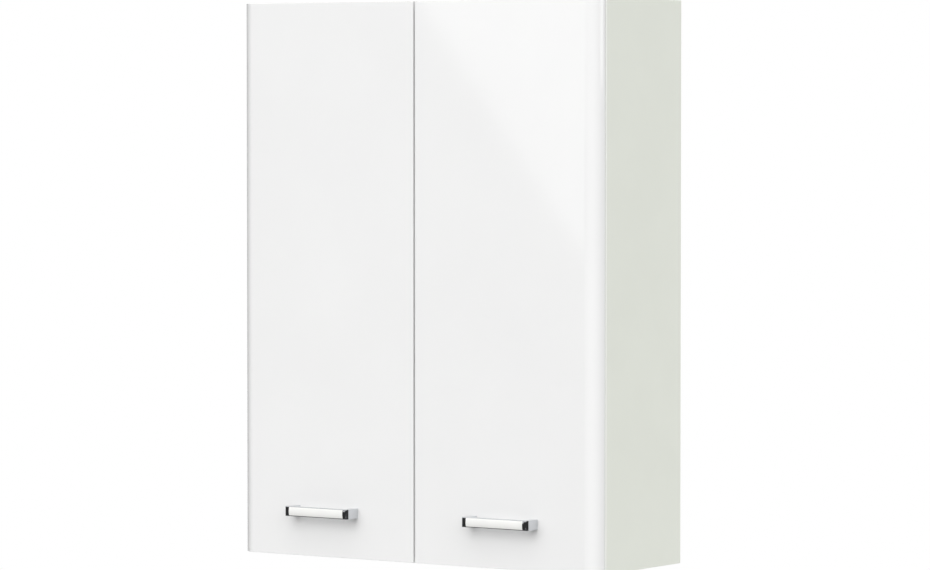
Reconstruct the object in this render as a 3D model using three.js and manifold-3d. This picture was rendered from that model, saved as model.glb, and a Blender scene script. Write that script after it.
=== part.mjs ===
// Hanging bathroom wall cabinet: a melamine carcass with two gloss doors on concealed cup hinges,
// two shelves, a recessed back, bow handles, and hangers that hook over a steel rail on the wall.
// Millimetres. +X is to the right of someone facing the doors, +Y goes into the wall, +Z is up.
// The origin is the middle of the wall rail's rear face, so the wall is the plane y = 0.
import * as THREE from 'three';
import { mergeVertices } from 'three/addons/utils/BufferGeometryUtils.js';
import Module from 'manifold-3d';

// Cabinet
const cabinetWidth = 600;
const cabinetHeight = 780;
const cabinetDepth = 216;
const boardThickness = 16;
const doorThickness = 22;
const doorToCarcass = 2;
const doorToDoor = 3;
const doorInset = 1;
const topAboveRail = 60;

// Back panel, let into a groove all round
const backThickness = 3;
const backFromWall = 17;
const grooveDepth = 5;
const grooveClearance = 0.3;

// Shelves, their pins and the rows of holes for the pins
const shelfDepth = 153;
const shelfEndGap = 1;
const shelfPitch = 246;
const holePitch = 32;
const holesEitherSide = 2;
const holeRadius = 2.5;
const holeDepth = 11;
const holeRowFromFront = 37;
const holeRowSpacing = 96;
const pinStubRadius = 2.15;
const pinStubLength = 9;
const pinBody = { length: 8, width: 9, height: 5 };

// Knock-down fittings: a cam in the horizontal board, a bolt in the side panel
const camFromEnd = 24;
const camRadius = 7.3;
const camHeight = 12;
const camBoreRadius = 7.8;
const camBoreDepth = 13;
const camBelowFace = 0.3;
const camSlotPastCentre = 2;
const camSlotHalf = 3.7;
const boltShankRadius = 3.1;
const boltBoreRadius = 3.9;
const boltThreadRadius = 2.4;
const boltThreadLength = 10;
const boltThreadClearance = 0.3;

// Doors: the upright outer edge is a quarter round as deep as the door is thick
const doorEdgeRadius = 22;
const doorInnerArris = 1.5;
const doorArcSteps = 12;
const cupSides = 24;

// Handles: a chrome bow with rounded corners and a crowned front, and a plastic strip let into it
const handleSpacing = 96;
const handleLength = 110;
const handleHeight = 14;
const handleProjection = 26;
const handleCrown = 1.5;
const handleCornerRadius = 5.5;
const handleInnerRadius = 3;
const handleBarThickness = 6;
const handleLegThickness = 10;
const handleAboveDoorEnd = 64;
const handleEndStrip = 8.4;
const handleLip = 0.9;
const insertThickness = 2;
const insertClearance = 0.1;
const handleScrewRadius = 1.9;
const handleScrewHeadRadius = 4;
const handleScrewHeadHeight = 2.2;
const handleScrewReach = 14;
const handleScrewClearance = 0.3;

// Concealed hinges. Pivots are given from the side panel's inner front edge: x towards the outside
// of the cabinet, y towards the wall. The eye is the inner link's end, larger than the pin in it.
const hingeFromDoorEnd = 96;
const pivotArmOuter = { x: -21.5, y: 9.5 };
const pivotCupOuter = { x: 5.4, y: -2.7 };
const pivotArmInner = { x: -20.1, y: -10.3 };
const pivotCupInner = { x: 0.8, y: -5.7 };
const innerLinkEye = { x: 0.79, y: -6.86 };
const innerLinkEyeRadius = 2.35;
const pinRadius = 1;
const pinClearance = 0.15;
const cupCentreX = -7.5;
const cupRadius = 17.5;
const cupCavityRadius = 16.5;
const cupDepth = 12;
const cupFloor = 0.8;
const cupWing = { x: -17, width: 11, halfLength: 28, thickness: 1.2, screwSpacing: 45, holeRadius: 2.2 };
const cupLug = { behindPivot: 3, outside: 9.2, inset: 0.4 };
const doorRecessClearance = 0.3;
const cupBoreClearance = 0.4;
const plateWing = { thickness: 2.5, halfWidth: 7, halfLength: 27, screwOffset: 18, holeRadius: 2.3 };
const plateBoss = { thickness: 7.5, halfWidth: 7.5, ahead: 19, behind: 25 };
const armBody = { x: [-20.5, -7.8], y: [14, 66] };
const armStep = { x: [-23.9, -19], y: [15, 40] };
const innerBossRadius = 2.2;
const outerBossRadius = 2.4;
const outerLinkEndRadius = 2.1;
const innerLinkWidth = 4;
const innerLinkEyeWall = 0.7;
const innerLinkHalf = 3.4;
const outerLinkPlates = [3.8, 5];
const armCheeks = [5.4, 6.4];
const cupLugs = [6.9, 8.1];

// Hangers and wall rail
const hangerWidth = 60;
const hangerHeight = 42;
const hangerDepth = 17;
const hangerWall = 3;
const hangerSlotClearance = 1;
const hangerScrew = { fromMiddle: 11, height: 9, radius: 3.2, depth: 5 };
const hookWidth = 30;
const hookThickness = 3;
const hookReachForward = 10;
const hookTongue = { thickness: 2.5, drop: 5.4, behindLip: 0.5 };
const hookWindow = { beside: 3, below: 4, above: 3 };
const railHalfLength = 270;
const railHalfHeight = 15;
const railThickness = 2;
const railLipTop = 20;
const railLipOffset = 5;
const railLipHeight = 6;
const railBendInset = 0.8;
const railHole = { radius: 3.2, z: -4, x: [70, 210] };

// Worked out from the sizes above
const halfWidth = cabinetWidth / 2;
const innerX = halfWidth - boardThickness;
const top = topAboveRail;
const bottom = top - cabinetHeight;
const innerTop = top - boardThickness;
const innerBottom = bottom + boardThickness;
const doorFront = -cabinetDepth;
const doorRear = doorFront + doorThickness;
const carcassFront = doorRear + doorToCarcass;
const doorTop = top - doorInset;
const doorBottom = bottom + doorInset;
const doorInnerX = doorToDoor / 2;
const backRear = -backFromWall;
const backFront = backRear - backThickness;
const boltY = carcassFront / 2;
const shelfHoleZ = [innerBottom + shelfPitch, innerBottom + 2 * shelfPitch];
const pinRows = [carcassFront + holeRowFromFront, carcassFront + holeRowFromFront + holeRowSpacing];
const handleX = (doorInnerX + halfWidth) / 2;
const handleZ = doorBottom + handleAboveDoorEnd;
const handleScrewX = [handleX - handleSpacing / 2, handleX + handleSpacing / 2];
const handleFront = doorFront - handleProjection;
const handleSpanZ = [handleZ - handleHeight / 2, handleZ + handleHeight / 2];
const hingeZ = [doorTop - hingeFromDoorEnd, doorBottom + hingeFromDoorEnd];
const hangerX = innerX - hangerWidth / 2;

// Materials
function finish(color, roughness, metalness = 0) {
  return new THREE.MeshStandardMaterial({ color, roughness, metalness });
}
const glossWhite = finish(0xf3f2ee, 0.12);
const matWhite = finish(0xdcdfd6, 0.55);
const backWhite = finish(0xe4e5df, 0.6);
const chrome = finish(0xc8cacc, 0.12, 1);
const nickel = finish(0xb9b7b0, 0.3, 1);
const zincCast = finish(0x9da0a2, 0.45, 1);
const galvanised = finish(0xa9adae, 0.4, 1);
const whitePlastic = finish(0xe9eae6, 0.35);

// Solids: three.js makes the shapes, manifold-3d joins and cuts them
const wasm = await Module();
wasm.setup();

function solid(geometry) {
  geometry.deleteAttribute('normal');
  geometry.deleteAttribute('uv');
  const merged = mergeVertices(geometry, 1e-4);
  return new wasm.Manifold(new wasm.Mesh({
    numProp: 3,
    vertProperties: merged.getAttribute('position').array,
    triVerts: new Uint32Array(merged.index.array),
  }));
}

function block([x0, x1], [y0, y1], [z0, z1]) {
  const geometry = new THREE.BoxGeometry(x1 - x0, y1 - y0, z1 - z0);
  geometry.translate((x0 + x1) / 2, (y0 + y1) / 2, (z0 + z1) / 2);
  return solid(geometry);
}

// An outline in x and y, raised from z0 to z1.
function upright(outline, [z0, z1], arcSteps = 6) {
  const geometry = new THREE.ExtrudeGeometry(outline, {
    depth: z1 - z0,
    bevelEnabled: false,
    curveSegments: arcSteps,
  });
  geometry.translate(0, 0, z0);
  return solid(geometry);
}

// An outline in y and z, drawn out from x0 to x1.
function crosswise(outline, [x0, x1]) {
  const geometry = new THREE.ExtrudeGeometry(outline, {
    depth: x1 - x0,
    bevelEnabled: false,
    curveSegments: 8,
  });
  const turn = new THREE.Matrix4().makeBasis(
    new THREE.Vector3(0, 1, 0),
    new THREE.Vector3(0, 0, 1),
    new THREE.Vector3(1, 0, 0),
  );
  geometry.applyMatrix4(turn);
  geometry.translate(x0, 0, 0);
  return solid(geometry);
}

// A round rod or bore along 'x', 'y' or 'z', between two distances on that axis.
function rod(axis, radius, [from, to], centre, sides = 12) {
  const geometry = new THREE.CylinderGeometry(radius, radius, to - from, sides);
  geometry.translate(0, (from + to) / 2, 0);
  if (axis === 'x') geometry.rotateZ(-Math.PI / 2);
  if (axis === 'z') geometry.rotateX(Math.PI / 2);
  geometry.translate(...centre);
  return solid(geometry);
}

function polygon(points) {
  return new THREE.Shape(points.map(([u, v]) => new THREE.Vector2(u, v)));
}

function piece(name, shape, material) {
  const { vertProperties, triVerts } = shape.getMesh();
  const geometry = new THREE.BufferGeometry();
  geometry.setAttribute('position', new THREE.BufferAttribute(vertProperties, 3));
  geometry.setIndex(new THREE.BufferAttribute(triVerts, 1));
  const flat = geometry.toNonIndexed();
  flat.computeVertexNormals();
  const mesh = new THREE.Mesh(flat, material);
  mesh.name = name;
  return mesh;
}

// Carcass boards
function grooveAcross([z0, z1], halfLength) {
  return block(
    [-halfLength, halfLength],
    [backFront - grooveClearance, backRear + grooveClearance],
    [z0, z1],
  );
}

function horizontalBoard(name, [z0, z1], innerFace) {
  const inwards = innerFace === z0 ? 1 : -1;
  const between = (a, b) => [Math.min(a, b), Math.max(a, b)];
  const boltZ = (z0 + z1) / 2;
  let board = block([-innerX, innerX], [carcassFront, 0], [z0, z1]);
  board = board.subtract(grooveAcross(between(innerFace, innerFace + inwards * grooveDepth), innerX));
  for (const side of [-1, 1]) {
    const camX = side * (innerX - camFromEnd);
    const camBore = between(innerFace, innerFace + inwards * camBoreDepth);
    const boltBore = between(camX, side * innerX);
    board = board.subtract(rod('z', camBoreRadius, camBore, [camX, boltY, 0], 16));
    board = board.subtract(rod('x', boltBoreRadius, boltBore, [0, boltY, boltZ]));
  }
  return piece(name, board, matWhite);
}

function sidePanel(name) {
  let panel = block([innerX, halfWidth], [carcassFront, 0], [bottom, top]);
  panel = panel.subtract(block(
    [innerX, innerX + grooveDepth],
    [backFront - grooveClearance, backRear + grooveClearance],
    [innerBottom - grooveDepth, innerTop + grooveDepth],
  ));
  for (const shelfZ of shelfHoleZ) {
    for (let i = -holesEitherSide; i <= holesEitherSide; i += 1) {
      for (const y of pinRows) {
        const centre = [0, y, shelfZ + i * holePitch];
        panel = panel.subtract(rod('x', holeRadius, [innerX, innerX + holeDepth], centre, 8));
      }
    }
  }
  for (const z of [top - boardThickness / 2, bottom + boardThickness / 2]) {
    const reach = [innerX, innerX + boltThreadLength + 1];
    const radius = boltThreadRadius + boltThreadClearance;
    panel = panel.subtract(rod('x', radius, reach, [0, boltY, z], 8));
  }
  return piece(name, panel, matWhite);
}

function backPanel() {
  const edge = grooveDepth - 0.5;
  let panel = block(
    [-innerX - edge, innerX + edge],
    [backFront, backRear],
    [innerBottom - edge, innerTop + edge],
  );
  for (const side of [-1, 1]) {
    const middle = side * hangerX;
    const half = hookWidth / 2 + hookWindow.beside;
    panel = panel.subtract(block(
      [middle - half, middle + half],
      [backFront, backRear],
      [railLipTop - hookWindow.below, railLipTop + hookThickness + hookWindow.above],
    ));
  }
  return piece('back_panel', panel, backWhite);
}

function shelf(name, holeZ) {
  const underside = holeZ + pinBody.height / 2;
  const board = block(
    [-innerX + shelfEndGap, innerX - shelfEndGap],
    [backFront - 1 - shelfDepth, backFront - 1],
    [underside, underside + boardThickness],
  );
  return piece(name, board, matWhite);
}

function shelfPin(name, y, z) {
  const body = block(
    [innerX - pinBody.length, innerX],
    [y - pinBody.width / 2, y + pinBody.width / 2],
    [z - pinBody.height / 2, z + pinBody.height / 2],
  );
  const stub = rod('x', pinStubRadius, [innerX - 1, innerX + pinStubLength], [0, y, z], 8);
  return piece(name, body.add(stub), nickel);
}

function cam(name, innerFace, inwards) {
  const boltZ = innerFace + inwards * boardThickness / 2;
  const near = innerFace + inwards * camBelowFace;
  const far = near + inwards * camHeight;
  const span = [Math.min(near, far), Math.max(near, far)];
  const x = innerX - camFromEnd;
  const housing = rod('z', camRadius, span, [x, boltY, 0], 16);
  const slot = block(
    [x - camSlotPastCentre, x + camRadius + 1],
    [boltY - camSlotHalf, boltY + camSlotHalf],
    [boltZ - camSlotHalf, boltZ + camSlotHalf],
  );
  return piece(name, housing.subtract(slot), zincCast);
}

function camBolt(name, z) {
  const shank = rod('x', boltShankRadius, [innerX - camFromEnd, innerX], [0, boltY, z]);
  const thread = rod('x', boltThreadRadius, [innerX - 1, innerX + boltThreadLength], [0, boltY, z], 8);
  return piece(name, shank.add(thread), zincCast);
}

// Door: outline with the quarter round on its outer edge and small arrises on the other one
function doorOutline() {
  const outline = new THREE.Shape();
  const arris = doorInnerArris;
  outline.moveTo(halfWidth, doorRear);
  outline.lineTo(doorInnerX + arris, doorRear);
  outline.absarc(doorInnerX + arris, doorRear - arris, arris, Math.PI / 2, Math.PI, false);
  outline.absarc(doorInnerX + arris, doorFront + arris, arris, Math.PI, 1.5 * Math.PI, false);
  outline.absarc(halfWidth - doorEdgeRadius, doorRear, doorEdgeRadius, 1.5 * Math.PI, 2 * Math.PI, false);
  return outline;
}

function door(name) {
  let panel = upright(doorOutline(), [doorBottom, doorTop], doorArcSteps);
  const room = doorRecessClearance;
  const cupX = innerX + cupCentreX;
  const wingX = innerX + cupWing.x;
  const wingHalf = cupWing.width / 2 + room;
  const wingReach = cupWing.halfLength + room;
  for (const z of hingeZ) {
    const bore = [doorRear - cupDepth - room, doorRear + 1];
    panel = panel.subtract(rod('y', cupRadius + cupBoreClearance, bore, [cupX, 0, z], cupSides));
    panel = panel.subtract(block(
      [wingX - wingHalf, wingX + wingHalf],
      [doorRear - cupWing.thickness - room, doorRear + 1],
      [z - wingReach, z + wingReach],
    ));
  }
  for (const x of handleScrewX) {
    const radius = handleScrewRadius + handleScrewClearance;
    panel = panel.subtract(rod('y', radius, [doorFront - 1, doorRear + 1], [x, 0, handleZ]));
  }
  return piece(name, panel, glossWhite);
}

// Handle: the crown is a shallow arc across the height of the bow's front
function crownedBar() {
  const halfHeight = handleHeight / 2;
  const radius = (halfHeight ** 2 + handleCrown ** 2) / (2 * handleCrown);
  const sweep = Math.asin(halfHeight / radius);
  const outline = new THREE.Shape();
  outline.moveTo(doorFront, handleSpanZ[1]);
  outline.absarc(handleFront + radius, handleZ, radius, Math.PI - sweep, Math.PI + sweep, false);
  outline.lineTo(doorFront, handleSpanZ[0]);
  return crosswise(outline, [handleX - handleLength, handleX + handleLength]);
}

// The bow's outline goes round its outside, then back round the finger gap.
function bowOutline() {
  const outline = new THREE.Shape();
  const front = handleFront;
  const left = handleX - handleLength / 2;
  const right = handleX + handleLength / 2;
  const innerLeft = left + handleLegThickness;
  const innerRight = right - handleLegThickness;
  const innerFront = front + handleBarThickness;
  const outer = handleCornerRadius;
  const inner = handleInnerRadius;
  outline.moveTo(left, doorFront);
  outline.absarc(left + outer, front + outer, outer, Math.PI, 1.5 * Math.PI, false);
  outline.absarc(right - outer, front + outer, outer, 1.5 * Math.PI, 2 * Math.PI, false);
  outline.lineTo(right, doorFront);
  outline.lineTo(innerRight, doorFront);
  outline.absarc(innerRight - inner, innerFront + inner, inner, 0, -0.5 * Math.PI, true);
  outline.absarc(innerLeft + inner, innerFront + inner, inner, 1.5 * Math.PI, Math.PI, true);
  outline.lineTo(innerLeft, doorFront);
  return outline;
}

function handleBow(name) {
  const half = handleLength / 2;
  let bow = upright(bowOutline(), handleSpanZ).intersect(crownedBar());
  bow = bow.subtract(block(
    [handleX - half + handleEndStrip, handleX + half - handleEndStrip],
    [handleFront - 1, handleFront + insertThickness],
    [handleSpanZ[0] + handleLip, handleSpanZ[1] - handleLip],
  ));
  for (const x of handleScrewX) {
    const thread = [doorFront - handleScrewReach - 1, doorFront + 1];
    const radius = handleScrewRadius + handleScrewClearance;
    bow = bow.subtract(rod('y', radius, thread, [x, 0, handleZ]));
  }
  return piece(name, bow, chrome);
}

function handleInsert(name) {
  const half = handleLength / 2 - handleEndStrip - insertClearance;
  const halfHeight = handleHeight / 2 - handleLip - insertClearance;
  const strip = block(
    [handleX - half, handleX + half],
    [handleFront - 1, handleFront + insertThickness],
    [handleZ - halfHeight, handleZ + halfHeight],
  );
  return piece(name, strip.intersect(crownedBar()), whitePlastic);
}

function handleScrew(name, x) {
  const centre = [x, 0, handleZ];
  const head = rod('y', handleScrewHeadRadius, [doorRear, doorRear + handleScrewHeadHeight], centre);
  const shank = rod('y', handleScrewRadius, [doorFront - handleScrewReach, doorRear + 0.5], centre);
  return piece(name, head.add(shank), galvanised);
}

// Hinge pieces, drawn from the side panel's inner front edge at the hinge's height
function disc(centre, radius, span, sides = 12) {
  return rod('z', radius, span, [centre.x, centre.y, 0], sides);
}

function pairOf([inside, outside], make) {
  return make([inside, outside]).add(make([-outside, -inside]));
}

// A hole that leaves clearance round a pin, measured to the flats of its many sides
function pinHole(centre, radius, sides = 12) {
  return disc(centre, radius / Math.cos(Math.PI / sides), [-9, 9], sides);
}

// Points given along and to the left of the line from one pivot to another
function alongLine(from, to, points) {
  const length = Math.hypot(to.x - from.x, to.y - from.y);
  const along = { x: (to.x - from.x) / length, y: (to.y - from.y) / length };
  return points(length).map(([u, v]) => [
    from.x + u * along.x - v * along.y,
    from.y + u * along.y + v * along.x,
  ]);
}

function mountingPlate(name) {
  const screwY = holeRowFromFront;
  const wing = plateWing;
  const boss = plateBoss;
  let plate = block(
    [-wing.thickness, 0],
    [screwY - wing.halfWidth, screwY + wing.halfWidth],
    [-wing.halfLength, wing.halfLength],
  );
  plate = plate.add(block(
    [-boss.thickness, 0],
    [screwY - boss.ahead, screwY + boss.behind],
    [-boss.halfWidth, boss.halfWidth],
  ));
  for (const z of [-wing.screwOffset, wing.screwOffset]) {
    plate = plate.subtract(rod('x', wing.holeRadius, [-wing.thickness - 1, 1], [0, screwY, z]));
  }
  return piece(name, plate, nickel);
}

function hingeArm(name) {
  const nose = polygon([
    [-22.3, -10.3],
    [-22.3, 2],
    [-23.9, 9.5],
    [-23.9, 16],
    [-8, 20],
    [-12, 12],
    [-17.6, 1],
    [-17.9, -10.3],
  ]);
  const across = [-armCheeks[1], armCheeks[1]];
  let arm = block(armBody.x, armBody.y, across);
  arm = arm.add(block(armStep.x, armStep.y, across));
  arm = arm.add(pairOf(armCheeks, (span) => upright(nose, span)));
  arm = arm.add(pairOf(armCheeks, (span) => disc(pivotArmInner, innerBossRadius, span)));
  arm = arm.add(pairOf(armCheeks, (span) => disc(pivotArmOuter, outerBossRadius, span)));
  for (const pivot of [pivotArmInner, pivotArmOuter]) {
    arm = arm.add(disc(pivot, pinRadius, across));
  }
  return piece(name, arm, nickel);
}

function outerLink(name) {
  const outline = polygon(alongLine(pivotCupOuter, pivotArmOuter, (length) => [
    [0, 0.5],
    [7, 0.4],
    [9.5, -1.8],
    [length, -2.1],
    [length, 2.1],
    [7, 3.1],
    [1, 2.1],
  ]));
  const width = outerLinkPlates[1];
  let link = pairOf(outerLinkPlates, (span) => upright(outline, span));
  link = link.add(pairOf(outerLinkPlates, (span) => disc(pivotCupOuter, outerLinkEndRadius, span)));
  link = link.add(disc(pivotArmOuter, outerBossRadius, [-width, width]));
  link = link.subtract(pinHole(pivotArmOuter, pinRadius + pinClearance));
  link = link.subtract(pinHole(pivotCupOuter, pinRadius + pinClearance));
  return piece(name, link, nickel);
}

function innerLink(name) {
  const span = [-innerLinkHalf, innerLinkHalf];
  const edge = innerLinkWidth / 2;
  const outline = polygon(alongLine(pivotArmInner, innerLinkEye, (length) => [
    [0, -edge],
    [length, -edge],
    [length, edge],
    [0, edge],
  ]));
  let link = upright(outline, span);
  link = link.add(disc(pivotArmInner, innerBossRadius, span));
  link = link.add(disc(innerLinkEye, innerLinkEyeRadius + innerLinkEyeWall, span));
  link = link.subtract(pinHole(pivotArmInner, pinRadius + pinClearance));
  link = link.subtract(pinHole(innerLinkEye, innerLinkEyeRadius));
  return piece(name, link, nickel);
}

function hingeCup(name) {
  const mouth = -doorToCarcass;
  const floor = mouth - cupDepth;
  const wing = cupWing;
  const centre = [cupCentreX, 0, 0];
  let cup = rod('y', cupRadius, [floor, mouth], centre, cupSides);
  cup = cup.add(block(
    [wing.x - wing.width / 2, wing.x + wing.width / 2],
    [mouth - wing.thickness, mouth],
    [-wing.halfLength, wing.halfLength],
  ));
  cup = cup.subtract(rod('y', cupCavityRadius, [floor + cupFloor, mouth + 1], centre, cupSides));
  const lugs = pairOf(cupLugs, (span) => block(
    [pivotCupInner.x - cupLug.behindPivot, cupLug.outside],
    [floor + cupLug.inset, mouth - cupLug.inset],
    span,
  ));
  const inside = rod('y', (cupRadius + cupCavityRadius) / 2, [floor, mouth], centre, cupSides);
  cup = cup.add(lugs.intersect(inside));
  for (const pivot of [pivotCupOuter, pivotCupInner]) {
    cup = cup.add(disc(pivot, pinRadius, [-cupLugs[1], cupLugs[1]]));
  }
  for (const z of [-wing.screwSpacing / 2, wing.screwSpacing / 2]) {
    cup = cup.subtract(rod('y', wing.holeRadius, [mouth - wing.thickness - 1, mouth + 1], [wing.x, 0, z]));
  }
  return piece(name, cup, nickel);
}

function hinge(side, level, z) {
  const group = new THREE.Group();
  group.position.set(innerX, carcassFront, z);
  group.add(mountingPlate(`mounting_plate_${side}_${level}`));
  group.add(hingeArm(`hinge_arm_${side}_${level}`));
  group.add(outerLink(`hinge_outer_link_${side}_${level}`));
  group.add(innerLink(`hinge_inner_link_${side}_${level}`));
  group.add(hingeCup(`hinge_cup_${side}_${level}`));
  return group;
}

// Hangers and wall rail
function hangerHousing(name) {
  const front = backFront - hangerDepth;
  const slotHalf = hookWidth / 2 + hangerSlotClearance;
  const screw = hangerScrew;
  let housing = block([innerX - hangerWidth, innerX], [front, backFront], [0, hangerHeight]);
  housing = housing.subtract(block(
    [hangerX - slotHalf, hangerX + slotHalf],
    [front + hangerWall, backFront + 1],
    [railLipTop - hangerSlotClearance, railLipTop + hookThickness + hangerSlotClearance],
  ));
  for (const x of [hangerX - screw.fromMiddle, hangerX + screw.fromMiddle]) {
    const bore = [front - 1, front + screw.depth];
    housing = housing.subtract(rod('y', screw.radius, bore, [x, 0, screw.height]));
  }
  return piece(name, housing, whitePlastic);
}

function hangerHook(name) {
  const front = backFront - hookReachForward;
  const rear = -railThickness + hookTongue.behindLip;
  const tongueTip = railLipTop - hookTongue.drop;
  const profile = polygon([
    [front, railLipTop],
    [rear - hookTongue.thickness, railLipTop],
    [rear - hookTongue.thickness, tongueTip],
    [rear, tongueTip],
    [rear, railLipTop + hookThickness],
    [front, railLipTop + hookThickness],
  ]);
  const hook = crosswise(profile, [hangerX - hookWidth / 2, hangerX + hookWidth / 2]);
  return piece(name, hook, galvanised);
}

function wallRail() {
  const bend = railLipOffset;
  const lipStart = railLipTop - railLipHeight;
  const profile = polygon([
    [0, -railHalfHeight],
    [0, lipStart - bend],
    [-bend, lipStart],
    [-bend, railLipTop],
    [-bend - railThickness, railLipTop],
    [-bend - railThickness, lipStart - railBendInset],
    [-railThickness, lipStart - bend - railBendInset],
    [-railThickness, -railHalfHeight],
  ]);
  let rail = crosswise(profile, [-railHalfLength, railHalfLength]);
  for (const x of railHole.x) {
    for (const side of [-1, 1]) {
      const centre = [side * x, 0, railHole.z];
      rail = rail.subtract(rod('y', railHole.radius, [-railThickness - 1, 1], centre));
    }
  }
  return piece('wall_rail', rail, galvanised);
}

// One half of the cabinet, drawn on the right; the left one is its mirror image
function half(side) {
  const group = new THREE.Group();
  group.scale.x = side === 'left' ? -1 : 1;
  group.add(sidePanel(`side_panel_${side}`));
  group.add(cam(`cam_${side}_top`, innerTop, 1));
  group.add(cam(`cam_${side}_bottom`, innerBottom, -1));
  group.add(camBolt(`cam_bolt_${side}_top`, top - boardThickness / 2));
  group.add(camBolt(`cam_bolt_${side}_bottom`, bottom + boardThickness / 2));
  for (const [level, z] of [['lower', shelfHoleZ[0]], ['upper', shelfHoleZ[1]]]) {
    group.add(shelfPin(`shelf_pin_${side}_${level}_front`, pinRows[0], z));
    group.add(shelfPin(`shelf_pin_${side}_${level}_rear`, pinRows[1], z));
  }
  group.add(hangerHousing(`hanger_housing_${side}`));
  group.add(hangerHook(`hanger_hook_${side}`));
  group.add(door(`door_${side}`));
  group.add(handleBow(`handle_bow_${side}`));
  group.add(handleInsert(`handle_insert_${side}`));
  group.add(handleScrew(`handle_screw_${side}_inner`, handleScrewX[0]));
  group.add(handleScrew(`handle_screw_${side}_outer`, handleScrewX[1]));
  group.add(hinge(side, 'top', hingeZ[0]));
  group.add(hinge(side, 'bottom', hingeZ[1]));
  return group;
}

const cabinet = new THREE.Group();
cabinet.add(horizontalBoard('top_panel', [innerTop, top], innerTop));
cabinet.add(horizontalBoard('bottom_panel', [bottom, innerBottom], innerBottom));
cabinet.add(backPanel());
cabinet.add(shelf('shelf_lower', shelfHoleZ[0]));
cabinet.add(shelf('shelf_upper', shelfHoleZ[1]));
cabinet.add(wallRail());
cabinet.add(half('left'));
cabinet.add(half('right'));

export default cabinet;
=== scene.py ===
import math
import bpy
import bmesh
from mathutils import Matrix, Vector


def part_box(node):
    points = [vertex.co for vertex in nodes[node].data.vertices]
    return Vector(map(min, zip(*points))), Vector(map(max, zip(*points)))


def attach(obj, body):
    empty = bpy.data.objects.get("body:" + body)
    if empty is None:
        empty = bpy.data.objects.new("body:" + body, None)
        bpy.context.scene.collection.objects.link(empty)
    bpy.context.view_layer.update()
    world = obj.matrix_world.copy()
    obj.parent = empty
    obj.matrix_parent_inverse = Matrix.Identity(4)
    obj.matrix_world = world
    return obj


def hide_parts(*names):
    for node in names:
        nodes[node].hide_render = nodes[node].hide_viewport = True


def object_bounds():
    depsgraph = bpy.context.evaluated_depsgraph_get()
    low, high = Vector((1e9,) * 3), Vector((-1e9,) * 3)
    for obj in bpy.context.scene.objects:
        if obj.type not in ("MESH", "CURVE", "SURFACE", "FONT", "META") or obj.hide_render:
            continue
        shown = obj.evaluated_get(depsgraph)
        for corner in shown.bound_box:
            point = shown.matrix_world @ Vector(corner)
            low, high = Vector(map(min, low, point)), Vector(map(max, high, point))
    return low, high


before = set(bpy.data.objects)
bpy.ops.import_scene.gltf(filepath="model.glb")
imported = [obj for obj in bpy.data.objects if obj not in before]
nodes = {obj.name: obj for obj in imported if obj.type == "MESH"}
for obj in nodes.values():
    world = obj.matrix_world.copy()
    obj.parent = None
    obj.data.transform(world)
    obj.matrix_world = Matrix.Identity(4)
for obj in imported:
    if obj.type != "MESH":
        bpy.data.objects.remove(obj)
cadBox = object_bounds()
mm = 0.001
levels = ("top", "bottom")
pinLabels = ("lower_front", "lower_rear", "upper_front", "upper_rear")
through = 5 * mm
turnedAngle = 35
print("frame loaded:", len(nodes), "nodes")


# places taken from the frame
def nodeBox(name):
    low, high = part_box(name)
    return Vector(low), Vector(high)


def nodeMiddle(name):
    low, high = nodeBox(name)
    return (low + high) / 2


sideLow, sideHigh = nodeBox("side_panel_right")
topBoardUnderside = nodeBox("top_panel")[0].z
bottomBoardTop = nodeBox("bottom_panel")[1].z
doorLow, doorHigh = nodeBox("door_right")
innerX = sideLow.x
carcassFront = sideLow.y
doorRear = doorHigh.y
hingeHeights = {level: nodeMiddle("hinge_cup_right_" + level).z for level in levels}

# the hinge cup is 35 mm wide; its wing and its two pivots are placed from the side panel's inner front edge
cupRadius = 17.5 * mm
cupCentreX = innerX - 7.5 * mm
wingX = innerX - 17 * mm
wingSet = {"halfWidth": 5.5 * mm, "halfLength": 28 * mm, "thickness": 1.2 * mm}
cupSet = {"wall": 1.0 * mm, "floor": 0.8 * mm, "lip": 0.35 * mm, "bottomRound": (0.4 * mm, 1.2 * mm),
          "corner": 5.4 * mm, "arris": 0.25 * mm, "screwHole": 2.2 * mm, "screwSpacing": 45 * mm,
          "screwSunk": 0.1 * mm, "pin": 1.0 * mm, "lug": (6.9 * mm, 8.1 * mm),
          "lugReach": (-3 * mm, 9.2 * mm), "lugGap": 0.4 * mm, "lugSunk": 0.3 * mm}
outerPivot = Vector((innerX + 5.4 * mm, carcassFront - 2.7 * mm, 0))
innerPivot = Vector((innerX + 0.8 * mm, carcassFront - 5.7 * mm, 0))


# helpers
def hexColour(code, alpha=1.0):
    parts = [int(code[i:i + 2], 16) / 255 for i in (1, 3, 5)]
    return tuple(c / 12.92 if c <= 0.04045 else ((c + 0.055) / 1.055) ** 2.4 for c in parts) + (alpha,)


def addNode(tree, kind, settings=None, inputs=None, links=None):
    node = tree.nodes.new(kind)
    for key, value in (settings or {}).items():
        setattr(node, key, value)
    for key, value in (inputs or {}).items():
        node.inputs[key].default_value = value
    for key, source in (links or {}).items():
        tree.links.new(source, node.inputs[key])
    return node


def deselect():
    if bpy.context.mode != "OBJECT":
        bpy.ops.object.mode_set(mode="OBJECT")
    bpy.ops.object.select_all(action="DESELECT")


def focus(obj):
    deselect()
    obj.select_set(True)
    bpy.context.view_layer.objects.active = obj


def applyPlace(obj):
    focus(obj)
    bpy.ops.object.transform_apply(location=True, rotation=True, scale=True)


def newBlock(name, low, high):
    deselect()
    bpy.ops.mesh.primitive_cube_add(size=1, location=(Vector(low) + Vector(high)) / 2)
    obj = bpy.context.active_object
    obj.name = name
    obj.scale = Vector(high) - Vector(low)
    applyPlace(obj)
    return obj


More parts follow.
